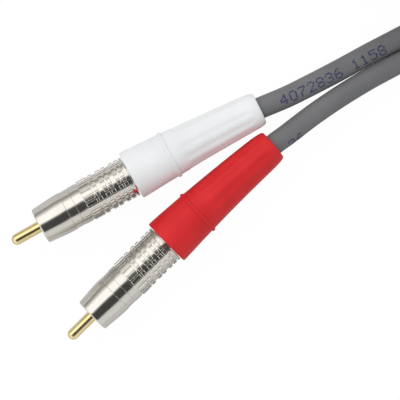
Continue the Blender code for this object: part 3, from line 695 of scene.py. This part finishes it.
# Table, light and camera
# The plugs lie on a plain white table, seen from straight above. The world is white, a little brighter
# overhead and towards +Y. The metal mirrors it with dark bands where the camera and the room would be.
TABLE_HALF, TABLE_SEEN_GLOW, TABLE_MIRRORED_GLOW = 3, 0.94, 0.15
floor_mesh = bpy.data.meshes.new("table")
floor_mesh.from_pydata([(x * TABLE_HALF, y * TABLE_HALF, 0)
                        for x, y in ((-1, -1), (1, -1), (1, 1), (-1, 1))], [], [(0, 1, 2, 3)])
floor = bpy.data.objects.new("table", floor_mesh)
bpy.context.scene.collection.objects.link(floor)
table, shader, add, join = nodes_of("white table", Base_Color=(0.62, 0.62, 0.63, 1.0), Roughness=0.8,
                                    Specular_IOR_Level=0.0)
rays, glow, mix = add("LightPath"), add("Emission", Strength=1.03), add("MixShader")
seen, dimmed = add("Math", operation="MULTIPLY_ADD"), add("Math", operation="MULTIPLY")
seen.inputs[1].default_value = TABLE_SEEN_GLOW
dimmed.inputs[1].default_value = TABLE_MIRRORED_GLOW
join(rays.outputs["Is Camera Ray"], seen.inputs[0])
join(rays.outputs["Is Glossy Ray"], dimmed.inputs[0])
join(dimmed.outputs["Value"], seen.inputs[2])
join(seen.outputs["Value"], mix.inputs["Fac"])
join(shader.outputs["BSDF"], mix.inputs[1])
join(glow.outputs["Emission"], mix.inputs[2])
join(mix.outputs["Shader"], table.node_tree.nodes["Material Output"].inputs["Surface"])
floor_mesh.materials.append(table)

world = bpy.data.worlds.new("studio")
bpy.context.scene.world = world
world.use_nodes = True
add, join = adder(world.node_tree), world.node_tree.links.new
background = world.node_tree.nodes["Background"]
way, axes, rays = add("TexCoord"), add("SeparateXYZ"), add("LightPath")
join(way.outputs["Generated"], axes.inputs["Vector"])

# What the metal mirrors: degrees from overhead towards +Y, level and warmth. The ramp holds half of
# each level, because it ends at 1, and is doubled after it.
mirrored = [(-180, 0.80, 0.0), (-62, 0.80, 0.0), (-50, 0.72, 0.0), (-44, 0.12, 0.0), (-38, 0.06, 0.0),
            (-3, 0.07, 0.0), (1, 0.11, 0.0), (6, 0.45, 0.0), (12, 1.35, 0.02), (50, 1.35, 0.02),
            (62, 0.8, 0.05), (76, 0.38, 0.12), (96, 0.36, 0.12), (130, 0.7, 0.0), (180, 0.8, 0.0)]
tilt, part = add("Math", operation="ARCTAN2"), add("MapRange", From_Min=-pi, From_Max=pi)
ramp, double = add("ValToRGB"), add("VectorMath", operation="SCALE", Scale=2.0)
ramp_stops(ramp, [((angle + 180) / 360,
                   (level / 2, level / 2 * (1 - 0.3 * warm), level / 2 * (1 - warm)))
                  for angle, level, warm in mirrored])
join(axes.outputs["Y"], tilt.inputs[0])
join(axes.outputs["Z"], tilt.inputs[1])
join(tilt.outputs["Value"], part.inputs["Value"])
join(part.outputs["Result"], ramp.inputs["Fac"])
join(ramp.outputs["Color"], double.inputs[0])

# The dark bands end towards -X and +X.
across, fade = add("Math", operation="ABSOLUTE"), add("MapRange", From_Min=0.4, From_Max=0.75)
ends = add("Mix", data_type="RGBA", B=(1.0, 1.0, 0.98, 1.0))
join(axes.outputs["X"], across.inputs[0])
join(across.outputs["Value"], fade.inputs["Value"])
join(fade.outputs["Result"], ends.inputs["Factor"])
join(double.outputs["Vector"], ends.inputs["A"])

# What lights the rest, and plain white for the camera.
lean, level = add("VectorMath", operation="DOT_PRODUCT"), add("Math")
lean.inputs[1].default_value = (0.0, 0.10, 0.12)
level.inputs[1].default_value = 0.72
plain = add("Mix", data_type="RGBA", B=(1.0, 1.0, 1.0, 1.0))
pick = add("Mix", data_type="RGBA")
join(way.outputs["Generated"], lean.inputs[0])
join(lean.outputs["Value"], level.inputs[0])
join(level.outputs["Value"], plain.inputs["A"])
join(rays.outputs["Is Camera Ray"], plain.inputs["Factor"])
join(rays.outputs["Is Glossy Ray"], pick.inputs["Factor"])
join(plain.outputs["Result"], pick.inputs["A"])
join(ends.outputs["Result"], pick.inputs["B"])
join(pick.outputs["Result"], background.inputs["Color"])

key_data = bpy.data.lights.new("key", "AREA")
key_data.shape, key_data.size, key_data.size_y = "RECTANGLE", 0.9, 0.5
key_data.energy = 2.5
key_data.color = (1.0, 0.99, 0.97)
key = bpy.data.objects.new("key", key_data)
key.location = (0.0, 0.6, 0.7)
key.rotation_euler = (Vector(key.location) - Vector((0.01, 0, 0))).to_track_quat("Z", "Y").to_euler()
key.visible_glossy = False
bpy.context.scene.collection.objects.link(key)

camera_data = bpy.data.cameras.new("camera")
camera_data.sensor_width, camera_data.lens = 36.0, 223.25
camera_data.clip_start, camera_data.clip_end = 0.05, 20.0
camera = bpy.data.objects.new("camera", camera_data)
camera.location = (0.011446, -0.006553, 0.7)
camera.rotation_euler = (0.0, 0.0, radians(-36.84))
bpy.context.scene.collection.objects.link(camera)
bpy.context.scene.camera = camera
bpy.context.scene.view_settings.view_transform = "Standard"
